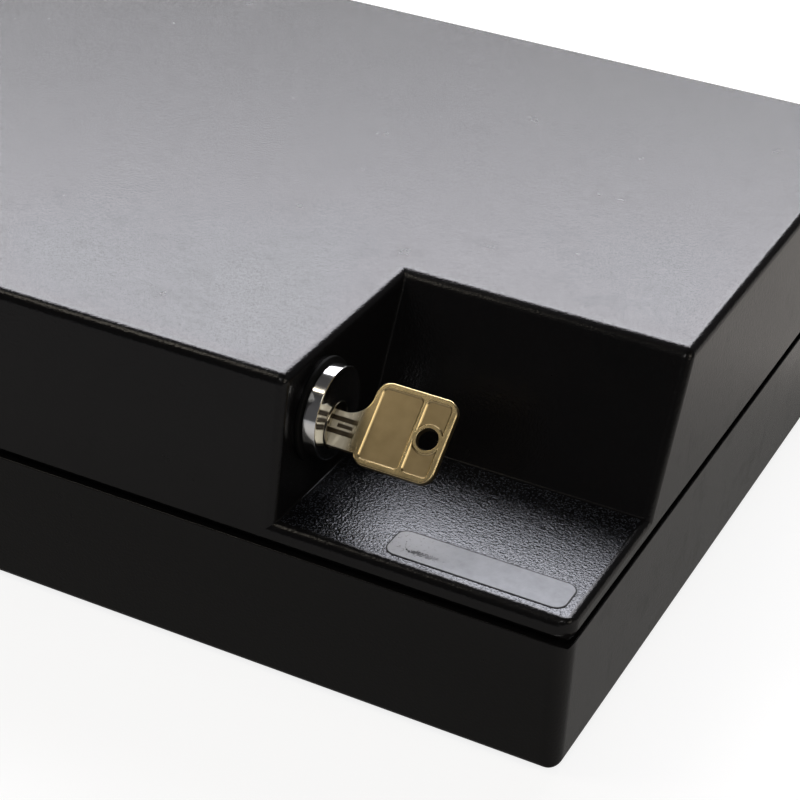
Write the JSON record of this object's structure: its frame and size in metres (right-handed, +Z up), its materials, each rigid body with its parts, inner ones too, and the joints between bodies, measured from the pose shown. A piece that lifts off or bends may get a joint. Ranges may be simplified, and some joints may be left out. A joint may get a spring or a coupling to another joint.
{
  "type": "lockable security case",
  "caption": "Moulded lockable case for documents or valuables, with a rear-hinged lid and a keyed cylinder lock set in a recessed corner of the lid.",
  "frame": {"origin": "on the surface that the feet stand on, below the middle of the closed case with its hinges", "axes": "+X along the front edge towards the lock corner, +Y from the front to the hinges, +Z up"},
  "size_m": [0.332, 0.2694, 0.0954],
  "materials": {
    "shell": "black moulded plastic with a fine grain, satin",
    "label": "pale grey smooth field, slightly scuffed",
    "chrome": "polished",
    "collar": "glossy black",
    "brass": "worn, pale brass",
    "steel": "zinc plated",
    "rubber": "matt"
  },
  "bodies": {
    "base": {"base_shell": "shell", "foot_front_left": "rubber", "foot_front_right": "rubber", "foot_rear_left": "rubber", "foot_rear_right": "rubber", "hinge_left_base_leaf": "steel", "hinge_left_base_rivet_1": "steel", "hinge_left_base_rivet_2": "steel", "hinge_left_pin": "steel", "hinge_right_base_leaf": "steel", "hinge_right_base_rivet_1": "steel", "hinge_right_base_rivet_2": "steel", "hinge_right_pin": "steel", "catch_bracket": "steel", "catch_screw_left": "steel", "catch_screw_right": "steel"},
    "lid": {"lid_shell": "shell", "label_field": "label", "hinge_left_lid_leaf": "steel", "hinge_left_lid_rivet_1": "steel", "hinge_left_lid_rivet_2": "steel", "hinge_right_lid_leaf": "steel", "hinge_right_lid_rivet_1": "steel", "hinge_right_lid_rivet_2": "steel", "lock_housing": "chrome", "lock_collar": "collar", "lock_backing_plate": "steel", "lock_washer": "steel", "lock_nut": "steel", "driver_pin_1": "steel", "driver_pin_2": "steel", "driver_pin_3": "steel", "driver_pin_4": "steel", "driver_pin_5": "steel", "pin_spring_1": "steel", "pin_spring_2": "steel", "pin_spring_3": "steel", "pin_spring_4": "steel", "pin_spring_5": "steel"},
    "plug": {"lock_plug": "chrome", "key_pin_1": "brass", "key_pin_2": "brass", "key_pin_3": "brass", "key_pin_4": "brass", "key_pin_5": "brass", "lock_cam": "steel", "cam_washer": "steel", "cam_screw": "steel"},
    "key": {"key": "brass"}
  },
  "joints": [
    {"name": "lid_hinge", "type": "hinge", "parent": "base", "child": "lid", "pos_m": [0, 0.13077, 0.0462], "axis": [-1, 0, 0], "range_deg": [0, 100]},
    {"name": "plug_turn", "type": "hinge", "parent": "lid", "child": "plug", "pos_m": [0.08, -0.10923, 0.0729], "axis": [1, 0, 0], "range_deg": [-42.3, 47.7]},
    {"name": "key_slide", "type": "slide", "parent": "plug", "child": "key", "axis": [1, 0, 0], "range_m": [0, 0.03]}
  ]
}
